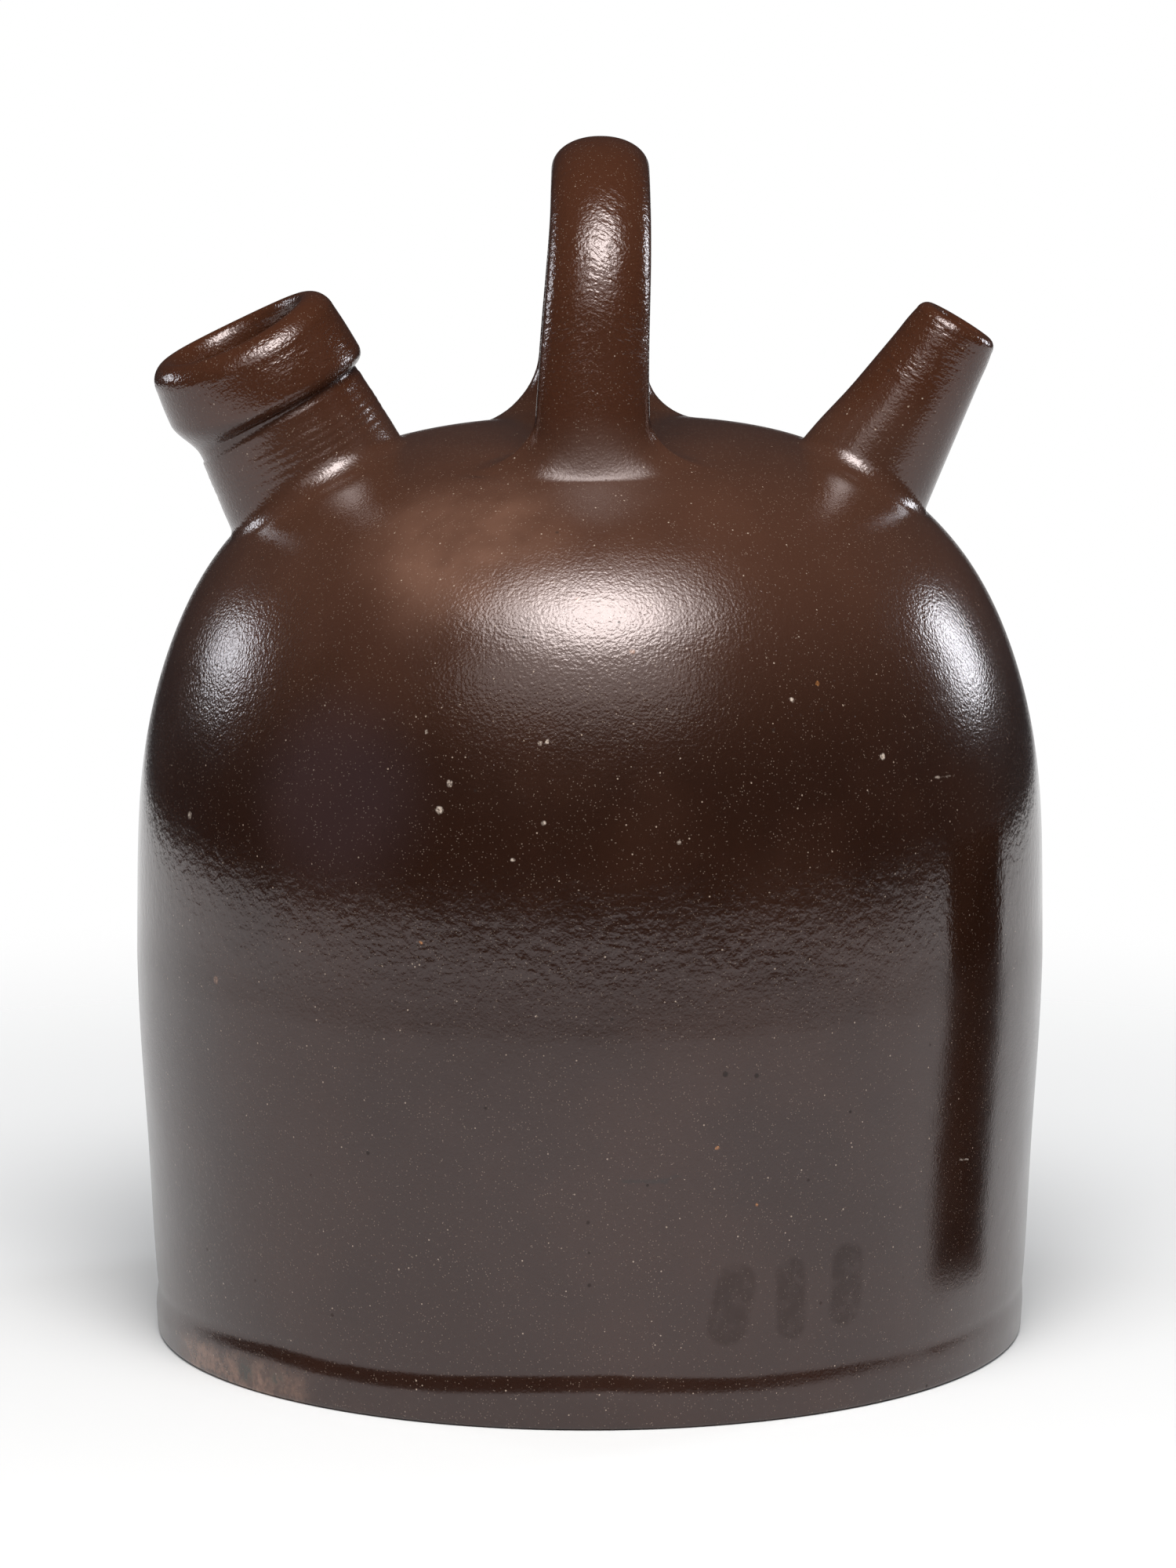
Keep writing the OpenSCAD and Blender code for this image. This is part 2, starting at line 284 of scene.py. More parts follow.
def throatPoints(p):
    # down the inside: rounded throat, straight bore, a narrow ledge, then a widening cone
    seat = p["length"] - p["throat"]
    low = seat - p["boreLength"]
    return np.vstack([
        arcPoints(p["crest"], seat, p["crest"] - p["bore"], p["throat"], 90, 180, 9)[1:],
        [[p["bore"], h] for h in np.linspace(seat, low, 9)[1:]],
        [[p["bore"] + p["ledge"], low - 0.1]],
    ])


def spoutRings(p, section, outside):
    # luted foot, neck, collar or tip, and the way down inside to the cavity, as rings on the spout's axis;
    # each point of the outside goes from its tight profile to its soft one by cos^2 t on the downhill side
    root = rootFrame(p["out"], p["lean"], p["turn"])
    angle = evenAngles(p["around"])
    fillet = p["fillet"] - p["tight"] * np.cos(angle) ** 4
    rings, top = lutedFoot(root, angle, section, fillet, fillet, p["filletSteps"])
    tight, soft = outside
    base = tight[0, 1]
    down = np.maximum(np.cos(angle), 0) ** 2
    for t in np.linspace(0, 1, p["neckSteps"] + 1)[1:-1]:
        h = top + (base + (soft[0, 1] - base) * down - top) * t
        rings.append(ringAt(root, section(h), angle, h))
    for (r, h), (softR, softH) in zip(tight, soft):
        rings.append(ringAt(root, r + (softR - r) * down, angle, h + (softH - h) * down))
    for r, h in throatPoints(p):
        rings.append(ringAt(root, r, angle, np.full_like(angle, h)))
    r = p["bore"] + p["ledge"] + p["flare"]
    rings.append(ringAt(root, r, angle, heightOnDome(root, r * np.cos(angle), r * np.sin(angle), innerDome)))
    return np.array(rings)


def fillerSection(h):
    # spreading neck with throwing rings that die out towards the collar
    base = filler["length"] - filler["collarHeight"]
    plain = filler["neck"] + filler["spread"] * (1 - h / base)
    depth = filler["ringDepth"] - filler["ringFade"] * smooth(h, 7, 13)
    rings = depth * np.sin(h * 3.3 + 0.6 * np.sin(h * 0.8)) * smooth(h, 2, 5)
    return plain + rings + 0.03 * np.sin(h * 0.9)


def drinkerSection(h):
    # straight cone from root to tip, plus swell * exp(-((h - at) / width)^2)
    p = drinker
    plain = p["tip"] + (p["rootRadius"] - p["tip"]) * (1 - h / (p["length"] - p["roll"]))
    return plain + p["swell"] * np.exp(-((h - p["swellAt"]) / p["swellWidth"]) ** 2)


def fillerOutside():
    # two profiles (r, h) over the collar: one undercut, one with an S-curve in place of the undercut,
    # r = neck + (collar - neck) * smooth(h)
    p = filler
    base = p["length"] - p["collarHeight"]
    shoulder = p["length"] - p["roll"]
    cut = p["neck"] - p["cut"]
    entry = [[p["neck"] - 0.02, base - 1.6], [p["neck"] - 0.05, base - 0.9], [cut + 0.03, base - 0.2]]
    under = arcPoints(cut, base + p["under"], p["collar"] - cut, p["under"], -84, 0, 10)
    t = np.linspace(0, 1, 9)[1:-1]
    band = np.column_stack([p["collar"] - p["taper"] * t + p["bulge"] * np.sin(math.pi * t),
                            base + p["under"] + t * (shoulder - base - p["under"])])
    lip = arcPoints(p["crest"], shoulder, p["collar"] - p["taper"] - p["crest"], p["roll"], 0, 90, 16)
    tight = np.vstack([entry, under, band, lip])
    soft = tight.copy()
    low, high = base + p["softFrom"], base + p["softTo"]
    count = len(entry) + len(under)
    h = np.linspace(low, high, count)
    step = (p["collar"] - p["neck"] + p["inset"]) * smooth(h, base + p["curveFrom"], base + p["curveTo"])
    soft[:count, 0] = p["neck"] - p["inset"] + step
    soft[:count, 1] = h
    soft[count:count + len(band), 1] = np.linspace(high, shoulder, len(band) + 2)[1:-1]
    return tight, soft


def drinkerOutside():
    # a rounded tip, the same all round
    p = drinker
    lip = arcPoints(p["crest"], p["length"] - p["roll"], p["tip"] - p["crest"], p["roll"], 0, 90, 10)
    return lip, lip


print("spouts")
fillerRings = spoutRings(filler, fillerSection, fillerOutside())
drinkerRings = spoutRings(drinker, drinkerSection, drinkerOutside())


# The stirrup handle

handle = dict(
    rise=56.4, arch=35.5, lean=9.0, shift=1.4,
    halfWidth=10.7, spread=2.0, outer=7.5, inner=5.5, power=2.12, legPower=0.12,
    nearFillet=11.0, farFillet=11.0, farLeft=4.0,        # clay drawn up at the feet
    frontRun=9.4, frontClimb=3.5, nearLeft=4.0, nearRight=2.0,
    around=88, filletSteps=14, legSteps=16, archSteps=64,
)


def sectionRadius(a, halfWidth, outer, inner, power):
    # superellipse: r = (|sin a / w|^p + |cos a / t|^p)^(-1/p), with t the outer or inner thickness
    thick = np.where(np.cos(a) > 0, outer, inner)
    return (np.abs(np.sin(a) / halfWidth) ** power + np.abs(np.cos(a) / thick) ** power) ** (-1 / power)


def handleRings():
    # superellipse sections up one leaning leg, round a circular arch and down the other leg
    p = handle
    lean, turn = math.radians(p["lean"]), math.radians(90 - p["lean"])
    archZ = body["belly"] + body["rise"] + p["rise"] - p["arch"]
    topY, topZ = p["arch"] * math.sin(turn), archZ + p["arch"] * math.cos(turn)
    low, high = 0.0, 120.0
    for step in range(40):                               # halving: length of a leg's centre line to the dome
        mid = (low + high) / 2
        if topZ - mid * math.cos(lean) > outerDome(topY + mid * math.sin(lean)):
            low = mid
        else:
            high = mid
    legLength = low
    out = topY + legLength * math.sin(lean)
    archLength = p["arch"] * turn
    angle = evenAngles(p["around"])

    def width(along):
        # half width + spread * (share of the way from the top to a foot)^2
        return p["halfWidth"] + p["spread"] * (along / (archLength + legLength)) ** 2

    def leg(turnDegrees, sign, run, climb):
        # a luted foot on the dome, then straight up to the arch
        root = rootFrame(out, -p["lean"], turnDegrees, p["shift"])
        a = sign * angle

        def section(h):
            half = width(archLength + legLength - h)
            return sectionRadius(a, half, p["outer"], p["inner"], p["power"] - p["legPower"])

        rings, top = lutedFoot(root, a, section, run, climb, p["filletSteps"])
        for t in np.linspace(0, 1, p["legSteps"] + 1)[1:]:
            h = top + (legLength - top) * t
            rings.append(ringAt(root, section(h), a, h))
        return rings

    left, right = np.maximum(-np.sin(angle), 0), np.maximum(np.sin(angle), 0)
    face = np.maximum(np.cos(angle), 0) ** 0.35          # 1 on the side that faces out
    sides = p["nearLeft"] * left ** 6 + p["nearRight"] * right ** 6
    nearRun = p["nearFillet"] - p["frontRun"] * face + sides
    near = leg(-90, 1, nearRun, p["nearFillet"] - p["frontClimb"] * face)
    farRun = p["farFillet"] + p["farLeft"] * left ** 2
    far = leg(90, -1, farRun, farRun)
    arch = []
    for d in np.linspace(-turn, turn, p["archSteps"] + 1)[1:-1]:
        power = p["power"] - p["legPower"] * smooth(abs(d), 0.25, 0.85)
        r = sectionRadius(angle, width(archLength * abs(d) / turn), p["outer"], p["inner"], power)
        across, reach = p["shift"] + r * np.sin(angle), p["arch"] + r * np.cos(angle)
        arch.append(np.stack([across, reach * math.sin(d), archZ + reach * math.cos(d)], 1))
    return np.array(near + arch + far[::-1])


print("handle")
strap = handleRings()


# Body skin, outside and inside

def bodyParts():
    # grids of rings for the wall and floor, even triangles over the dome, and the spouts and handle
    p = body
    outerMap = DomeMap(p["rim"], p["rise"])
    innerMap = DomeMap(p["rim"] - p["wall"], p["rise"] - p["crown"])
    t = evenAngles(p["around"])
    edge = wallRadius(p["footRound"], t)
    bend = np.radians(np.linspace(-90, 0, 6))[:, None]
    edgeRadius = edge - p["footRound"] + p["footRound"] * np.cos(bend)
    low = standing(edgeRadius, p["footRound"] * (1 + np.sin(bend)), t)
    band = np.arange(p["footRound"] + p["footStep"], p["footBand"], p["footStep"])
    z = np.concatenate([band, np.arange(p["footBand"], p["belly"], p["wallStep"])])[:, None]
    wall = standing(wallRadius(z, t), z, t)
    shoulder = turned(outerMap.shoulder(22), p["around"])
    inward = np.linspace(2, edge.min() - p["footRound"] - 1, 16)
    bottom = turned(np.column_stack([inward, 0 * inward]), p["around"])
    outside = np.concatenate([bottom, low, wall, shoulder])

    cornerZ = p["floor"] + p["floorRound"]
    corner = plainTaper(cornerZ) - p["wall"]
    floorLine = np.column_stack([np.linspace(5, corner - p["floorRound"] - 5, 8), np.full(8, p["floor"])])
    bend = arcPoints(corner - p["floorRound"], cornerZ, p["floorRound"], p["floorRound"], -90, 0, 7)
    z = np.linspace(cornerZ, p["belly"], 12)[1:-1]
    side = np.column_stack([plainTaper(z) - p["wall"], z])
    inside = turned(np.vstack([floorLine, bend, side, innerMap.shoulder(9)]), p["innerAround"])

    feet = [fillerRings[0], drinkerRings[0], strap[0], strap[-1]]
    bores = [fillerRings[-1], drinkerRings[-1]]
    return [
        ringGrid(outside, closeFirst=True),
        ringGrid(inside, closeFirst=True),
        domePatch(outerMap, outside[-1], feet, p["spacing"]),
        domePatch(innerMap, inside[-1], bores, p["innerSpacing"]),
        ringGrid(fillerRings),
        ringGrid(drinkerRings),
        ringGrid(strap),
    ]


uneven = dict(
    rings=0.12, oval=0.15, lobes=0.1,                    # slow waves of the wall
    sway=1.7, swayBack=0.9,                              # the handle leans a little to the right as it rises
    full=1.1,                                            # the dome is a little fuller on the right
    dip=1.05, dipFront=0.062, dipOut=0.03,               # the filling spout's lip dips towards the front
)


def handMade(p):
    # the potter's unevenness, a smooth field over the whole jug
    x, y, z = p[:, 0], p[:, 1], p[:, 2]
    t, r = np.arctan2(y, x), np.hypot(x, y)
    rings = uneven["rings"] * np.sin(z / 9.0 + 0.6 * np.sin(2 * t))
    wall = rings + uneven["oval"] * np.sin(2 * t + z / 60) + uneven["lobes"] * np.sin(3 * t - z / 45)
    wall = wall * smooth(z, 4, 25) * (1 - smooth(z, 150, 190)) * smooth(r, 60, 85)
    middle = 1 - smooth(np.abs(x), 30, 48)
    sway = middle * (uneven["sway"] * smooth(z, 206, 252) - uneven["swayBack"] * smooth(z, 192, 203))
    height = smooth(z, 175, 192) * (1 - smooth(z, 200, 212))
    swell = uneven["full"] * height * np.exp(-((x - 40) / 26) ** 2)
    moved = np.column_stack([x + wall * np.cos(t) + sway, y + wall * np.sin(t), z + swell])
    # the lip: dh = a v^2 + b v + c u in the filling spout's own axes
    root = rootFrame(filler["out"], filler["lean"], filler["turn"])
    own = moved - root["origin"]
    u, v, h = own @ root["x"], own @ root["y"], own @ root["z"]
    front = -v * np.sign(root["y"][1])                   # towards the camera
    dip = -uneven["dip"] * (v / filler["crest"]) ** 2 - uneven["dipFront"] * front + uneven["dipOut"] * u
    reach = smooth(h, 22, 34) * (1 - smooth(np.hypot(u, v), 26, 34))
    return moved + (dip * reach)[:, None] * root["z"]


def addMesh(name, points, faces):
    # a mesh object at the origin, linked to the scene
    mesh = bpy.data.meshes.new(name)
    mesh.from_pydata(points.tolist(), [], faces)
    mesh.update()
    made = bpy.data.objects.new(name, mesh)
    bpy.context.scene.collection.objects.link(made)
    return made


def buildSkin(name):
    # all parts as one mesh, made uneven, in metres, with its seams merged and its faces pointing out
    points, faces, start = [], [], 0
    for part, tris in bodyParts():
        points.append(part)
        faces.append(tris + start)
        start += len(part)
    piece = addMesh(name, handMade(np.vstack(points)) * mm, np.vstack(faces).tolist())
    mesh = piece.data
    sheet = bmesh.new()
    sheet.from_mesh(mesh)
    bmesh.ops.remove_doubles(sheet, verts=sheet.verts, dist=2e-6)
    bmesh.ops.recalc_face_normals(sheet, faces=sheet.faces)
    openEdges = sum(1 for e in sheet.edges if len(e.link_faces) != 2)
    if sheet.calc_volume(signed=True) < 0:
        bmesh.ops.reverse_faces(sheet, faces=sheet.faces)
    volume = round(sheet.calc_volume() * 1e6)
    print("skin:", len(sheet.faces), "triangles,", openEdges, "open edges, volume", volume, "ml")
    sheet.to_mesh(mesh)
    sheet.free()
    mesh.polygons.foreach_set("use_smooth", np.ones(len(mesh.polygons), bool))
    mesh.update()
    return piece


print("skin")
jug = buildSkin("glazedJug")
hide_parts("jug")
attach(jug, "root")


# Shader expressions

class Wire:
    # a socket in a node tree; arithmetic on it adds Math nodes
    def __init__(self, tree, socket=None):
        self.tree = tree
        self.socket = socket

    def node(self, kind, settings=None, inputs=None, out=0):
        # the settings are set first, then the sockets' values and links
        made = self.tree.nodes.new(kind)
        for key, value in (settings or {}).items():
            setattr(made, key, value)
        for key, value in (inputs or {}).items():
            if isinstance(value, Wire):
                self.tree.links.new(value.socket, made.inputs[key])
            else:
                made.inputs[key].default_value = value
        return Wire(self.tree, made.outputs[out])

    def into(self, node, key):
        # link to a socket of a node that is already there
        self.tree.links.new(self.socket, node.inputs[key])

    def math(self, operation, *values):
        return self.node("ShaderNodeMath", dict(operation=operation), dict(enumerate(values)))

    def __add__(self, other):
        return self.math("ADD", self, other)

    def __radd__(self, other):
        return self.math("ADD", other, self)

    def __sub__(self, other):
        return self.math("SUBTRACT", self, other)

    def __rsub__(self, other):
        return self.math("SUBTRACT", other, self)

    def __mul__(self, other):
        return self.math("MULTIPLY", self, other)

    def __rmul__(self, other):
        return self.math("MULTIPLY", other, self)

    def above(self, low, high):
        # 0 below low, 1 above high, smooth between
        return self.node("ShaderNodeMapRange", dict(interpolation_type="SMOOTHSTEP"),
                         {"Value": self, "From Min": low, "From Max": high})

    def clamp(self):
        return self.node("ShaderNodeClamp", None, {"Value": self})

    def most(self, other):
        return self.math("MAXIMUM", self, other)

    def vector(self, operation, *values, out="Vector"):
        return self.node("ShaderNodeVectorMath", dict(operation=operation), dict(enumerate(values)), out)

    def axes(self, place):
        # the three coordinates of a vector
        split = self.node("ShaderNodeSeparateXYZ", None, {0: place}).socket.node
        return [Wire(self.tree, output) for output in split.outputs]

    def noise(self, place, size, detail, rough=0.5):
        # size is the width of a feature in millimetres
        return self.node("ShaderNodeTexNoise", None, {"Vector": place, "Scale": 1 / (size * mm),
                                                      "Detail": detail, "Roughness": rough})

    def wave(self, place, size, detail, rough=0.5):
        # noise about 0, from -0.5 to 0.5
        return self.noise(place, size, detail, rough) - 0.5

    def dots(self, place, size, low, high):
        # round dots, one to a cell of size millimetres: 1 in the middle, 0 beyond high of a cell
        sockets = {"Vector": place, "Scale": 1 / (size * mm)}
        cells = self.node("ShaderNodeTexVoronoi", None, sockets, "Distance")
        return 1 - cells.above(low, high)

    def near(self, place, centre, reach, soft):
        # 1 within reach millimetres of a point, falling to 0 over soft more
        distance = self.vector("DISTANCE", place, tuple(c * mm for c in centre), out="Value")
        return 1 - distance.above(reach * mm, (reach + soft) * mm)

    def stroke(self, place, start, end, reach, soft=0.3):
        # the same along the line between two points: distance to a + clamp((p - a).d / d.d) d
        way = np.array(end) - np.array(start)
        own = self.vector("SUBTRACT", place, tuple(c * mm for c in start))
        along = self.vector("DOT_PRODUCT", own, tuple(way / (mm * way.dot(way))), out="Value").clamp()
        foot = self.node("ShaderNodeVectorMath", dict(operation="SCALE"),
                         {0: tuple(way * mm), "Scale": along}, "Vector")
        distance = self.vector("DISTANCE", own, foot, out="Value")
        return 1 - distance.above(reach * mm, (reach + soft) * mm)

    def blend(self, factor, first, second):
        # colour mix: first where factor is 0, second where it is 1
        node = self.node("ShaderNodeMix", dict(data_type="RGBA"), {0: factor}).socket.node
        for index, value in ((6, first), (7, second)):
            if isinstance(value, Wire):
                value.into(node, index)
            else:
                node.inputs[index].default_value = (*value, 1)
        return Wire(self.tree, node.outputs[2])

    def mixShaders(self, factor, first, second):
        return self.node("ShaderNodeMixShader", None, {0: factor, 1: first, 2: second})


def newMaterial(name):
    # a material, its Principled shader, and a Wire that builds in its tree
    material = bpy.data.materials.new(name)
    material.use_nodes = True
    return material, material.node_tree.nodes["Principled BSDF"], Wire(material.node_tree)


def onBody(across, z):
    # the point of the body's near side at a width from the axis and a height, in millimetres
    p = body["power"]
    up = max(z - body["belly"], 0) / body["rise"]
    r = float(plainTaper(z)) * (1 - up ** p) ** (1 / p)
    return (across, -math.sqrt(max(r * r - across * across, 0)), z)


# The glaze

glaze = dict(
    # the mauve tone is a painted reflection: a dim purple-grey sheen on the belly's left front
    dark=(0.0215, 0.0080, 0.0042), warm=(0.080, 0.0350, 0.0215), redPatch=(0.170, 0.088, 0.060),
    handle=(0.052, 0.0175, 0.0080), mauveReflection=(0.050, 0.031, 0.035), tan=(0.27, 0.150, 0.100),
    speck=(0.48, 0.385, 0.310), chip=(0.66, 0.56, 0.48), orange=(0.52, 0.22, 0.07),
    pit=(0.010, 0.008, 0.007), spot=(0.016, 0.021, 0.014), dry=(0.024, 0.016, 0.014),
    # how strongly each shows
    warmDome=0.62, warmPatches=0.14, redPatchShare=1.1, mauveReflectionShare=0.42, grainShare=0.30, speckShare=0.75,
    tanShare=1.6, spotShare=0.9, strokeShare=0.55, smudge=0.26, leastSmudge=0.08, crater=0.6, scattered=0.5,
    ior=1.65, roughness=0.19, tint=(1.0, 0.91, 0.92), dryRoughness=0.8, dryShine=0.1,
    worn=0.22, uneven=0.10, beltSmoother=0.07,           # changes of the roughness from place to place
)
# heights of the relief in millimetres, and how strong the fine grain is from place to place
surface = dict(
    grain=0.042, peel=0.030, ripples=0.010, lumps=0.075, pinholes=0.035, pebbles=0.046,
    drags=0.22, leastDrags=0.05, stretch=0.28, leanSine=0.48, leanCosine=0.88,
    low=0.45, upper=1.10, left=0.50, raised=0.70,
)
# width from the axis, height, reach and softness of each small mark on the body, in millimetres
chips = [
    (-10.6, 147.2, 0.6, 0.5), (-9.0, 147.5, 0.5, 0.5), (-31.6, 132.7, 0.8, 0.8), (-29.5, 138.3, 0.7, 0.6),
    (61.6, 140.7, 0.8, 0.5), (-9.8, 130.9, 0.5, 0.5), (-16.2, 123.1, 0.45, 0.4), (42.4, 154.2, 0.5, 0.5),
    (-85.8, 123.5, 0.9, 0.7), (18.5, 126.6, 0.45, 0.4), (-34.5, 148.5, 0.5, 0.4),
]
oranges = [
    (47.8, 157.0, 0.55, 0.4), (-35.6, 104.6, 0.55, 0.4), (26.7, 61.0, 0.55, 0.4), (35.2, 48.0, 0.3, 0.4),
]
tans = [(-80.2, 89.7, 0.9, 0.8), (-2.6, 175.3, 0.7, 0.6), (8.7, 165.3, 0.6, 0.6)]
pits = [
    (28.3, 77.0, 0.6, 0.7), (34.9, 76.2, 0.5, 0.6), (4.4, 89.7, 0.4, 0.5), (12.0, 53.6, 0.35, 0.4),
    (-0.5, 45.6, 0.4, 0.5), (-0.3, 39.0, 0.3, 0.4), (-0.2, 31.9, 0.4, 0.5), (-22.0, 70.0, 0.35, 0.4),
    (-47.0, 58.0, 0.4, 0.5), (55.0, 66.0, 0.4, 0.4), (6.0, 171.0, 0.35, 0.3), (-14.0, 168.0, 0.3, 0.3),
]
# start, end and reach of each scratch and smudge
paleStrokes = [((73.1, 134.5), (76.6, 134.1), 0.12), ((79.6, 49.8), (81.6, 49.3), 0.04)]
darkStrokes = [((6.9, 54.6), (16.0, 54.3), 0.25), ((15.2, 54.6), (18.4, 55.4), 0.18)]
smudges = [
    ((30.8, 31.0), (29.0, 22.0), 3.6), ((42.5, 32.0), (42.7, 21.0), 2.6), ((54.8, 33.0), (54.3, 23.0), 3.2),
]


def glazeColour(g, place, z):
    # dark slip, warmer over the dome and on the handle and spouts, a paler reddish patch left of the near
    # leg's foot; a painted reflection on the left front
    patches = g.noise(place, 42, 3, 0.55).above(0.42, 0.66)
    warmth = (z.above(0.135, 0.185) * glaze["warmDome"] + patches * glaze["warmPatches"]).clamp()
    colour = g.blend(warmth, glaze["dark"], glaze["warm"])
    raised = z.above(0.200, 0.212)
    colour = g.blend(raised * (0.70 + g.noise(place, 18, 3, 0.6) * 0.5).clamp(), colour, glaze["handle"])
    # a paler reddish patch left of the near leg's foot, broken by noise
    redPatch = g.near(place, (-27, -64, 184), 4, 26) * g.noise(place, 22, 3).above(0.18, 0.80)
    colour = g.blend((redPatch * glaze["redPatchShare"]).clamp(), colour, glaze["redPatch"])
    # painted reflection: a mauve, purple-grey sheen over the belly's left front
    mauveReflection = g.near(place, onBody(-54, 134), 8, 20) * glaze["mauveReflectionShare"]
    colour = g.blend(mauveReflection, colour, glaze["mauveReflection"])
    # fine pale grains all over, and a few larger ones
    grain = g.dots(place, 0.66, 0.10, 0.25) * g.noise(place, 1.3, 1).above(0.38, 0.60)
    colour = g.blend(grain * glaze["grainShare"], colour, glaze["speck"])
    rare = g.dots(place, 2.8, 0.040, 0.085) * g.noise(place, 5.0, 1).above(0.44, 0.54)
    colour = g.blend(rare * glaze["speckShare"], colour, glaze["speck"])
    return smallMarks(g, place, thinFoot(g, place, z, colour))


def thinFoot(g, place, z, colour):
    # tan where the glaze ran thin at the foot's left front, with dark green-black spots
    ragged = g.noise(place, 7, 4, 0.7)
    low = 1 - (z + ragged * 0.006 - 0.003).above(0.0050, 0.0085)
    patch = (g.near(place, onBody(-82, 5), 6, 15) + g.near(place, onBody(-68, 1), 3, 12)).clamp() * low
    mottled = g.noise(place, 3.2, 4, 0.8).above(0.34, 0.66) * 0.75 + 0.18
    colour = g.blend((patch * (ragged * glaze["tanShare"]) * mottled).clamp(), colour, glaze["tan"])
    spots = g.near(place, onBody(-73.5, 4.2), 1.4, 2.6) + g.near(place, onBody(-66.5, 4.4), 1.0, 2.2)
    spots = spots + g.near(place, onBody(-70.0, 5.2), 0.3, 1.4) + g.near(place, onBody(-84.0, 6.0), 0.2, 1.2)
    broken = g.noise(place, 1.6, 3, 0.7).above(0.36, 0.56)
    return g.blend((spots * broken).clamp() * glaze["spotShare"], colour, glaze["spot"])


def smallMarks(g, place, colour):
    # each mark is a spot or a stroke with a ragged edge: its place is shifted by up to 0.4 mm
    shift = 0.0008
    wobble = g.node("ShaderNodeTexNoise", None, {"Vector": place, "Scale": 900.0, "Detail": 2.0}, "Color")
    shaped = g.vector("ADD", place, g.vector("MULTIPLY", wobble, (shift, shift, shift)))
    shaped = g.vector("SUBTRACT", shaped, (shift / 2, shift / 2, shift / 2))
    broken = g.noise(place, 0.55, 2, 0.7).above(0.42, 0.60)
    for marks, paint in ((chips, "chip"), (oranges, "orange"), (tans, "tan"), (pits, "pit")):
        mask = 0.0
        for across, z, reach, soft in marks:
            mask = g.near(shaped, onBody(across, z), reach * 0.6, soft * 0.7) + mask
        colour = g.blend(mask.clamp() * (0.22 + broken * 0.7), colour, glaze[paint])
    for strokes, paint in ((paleStrokes, "chip"), (darkStrokes, "pit")):
        mask = 0.0
        for start, end, reach in strokes:
            mask = g.stroke(shaped, onBody(*start), onBody(*end), reach) + mask
        colour = g.blend(mask.clamp() * glaze["strokeShare"], colour, glaze[paint])
    return colour


def pebbledBelt(z):
    # 1 in a belt just above the widest ring, where the glaze is pebbled and shines more
    return z.above(0.088, 0.100) * (1 - z.above(0.122, 0.138))


def relief(g, place, x, y, z):
    # fine grain, orange peel, slow lumps and pinholes: weak low on the wall, stronger on the dome and
    # on what stands on it; pebbles in their belt
    s = surface
    grain = g.wave(place, 0.60, 1) * s["grain"]
    peel = g.wave(place, 1.15, 1) * s["peel"]
    ripples = g.wave(g.vector("MULTIPLY", place, (0.2, 0.2, 1.0)), 1.5, 2) * s["ripples"]
    lumps = g.wave(place, 9, 2) * s["lumps"]
    pinholes = g.dots(place, 1.6, 0.05, 0.12) * g.noise(place, 4, 1).above(0.45, 0.55) * -s["pinholes"]
    upper = z.above(0.124, 0.146)
    raised = z.above(0.206, 0.216)
    left = 1 - x.above(-0.085, -0.045)
    rougher = s["low"] + upper * s["upper"] + upper * left * s["left"] + raised * s["raised"]
    # drag marks run round the spouts and across the handle: noise drawn out square to each spout's lean
    width = x.math("ABSOLUTE", x)
    lengthwise = width * s["leanSine"] + z * s["leanCosine"]
    across = (width * s["leanCosine"] - z * s["leanSine"]) * s["stretch"]
    drawn = g.node("ShaderNodeCombineXYZ", None, {0: lengthwise, 1: y * s["stretch"], 2: across})
    strength = g.noise(place, 9, 2).above(0.36, 0.62) * s["drags"] + s["leastDrags"]
    drags = g.wave(drawn, 1.05, 2, 0.6) * strength * raised
    pebbles = g.wave(place, 1.9, 1) * pebbledBelt(z) * s["pebbles"]
    return ((grain + peel) * rougher + pinholes * upper + drags + ripples + lumps + pebbles) * mm


def dulled(g, place):
    # dry smudges low on the right and craters in the glaze, which do not shine
    mask = 0.0
    for start, end, reach in smudges:
        mask = g.stroke(place, onBody(*start), onBody(*end), reach, 1.8) + mask
    broken = g.noise(place, 3.5, 4, 0.7).above(0.28, 0.62)
    mask = mask.clamp() * (broken * glaze["smudge"] + glaze["leastSmudge"])
    for across, z, reach, soft in pits:
        mask = g.near(place, onBody(across, z), reach * 0.5, soft * 0.8) * glaze["crater"] + mask
    scattered = g.dots(place, 7.5, 0.03, 0.07) * g.noise(place, 11, 1).above(0.46, 0.54)
    return (mask + scattered * glaze["scattered"]).clamp()


def glazeMaterial():
    # a glossy slip with its relief as bump, mixed with a dry finish where it is dulled
    material, shader, g = newMaterial("slipGlaze")
    place = g.node("ShaderNodeTexCoord", None, None, "Object")
    x, y, z = g.axes(place)
    glazeColour(g, place, z).into(shader, "Base Color")
    shader.inputs["IOR"].default_value = glaze["ior"]
    shader.inputs["Specular Tint"].default_value = (*glaze["tint"], 1)
    worn = g.near(place, (2, -52, 195), 7, 12) * glaze["worn"]               # the near leg's foot
    roughness = glaze["roughness"] + g.wave(place, 14, 3, 0.6) * glaze["uneven"] + worn
    (roughness - pebbledBelt(z) * glaze["beltSmoother"]).into(shader, "Roughness")
    height = relief(g, place, x, y, z)
    bump = g.node("ShaderNodeBump", None, {"Height": height, "Strength": 1.0, "Distance": 1.0})
    bump.into(shader, "Normal")
    dry = g.node("ShaderNodeBsdfPrincipled", None, {"Base Color": (*glaze["dry"], 1),
                                                    "Roughness": glaze["dryRoughness"],
                                                    "Specular IOR Level": glaze["dryShine"]})
    mixed = g.mixShaders(dulled(g, place), Wire(g.tree, shader.outputs[0]), dry)
    mixed.into(g.tree.nodes["Material Output"], "Surface")
    return material


jug.data.materials.append(glazeMaterial())
print("glaze")


# Table, card and world, in metres

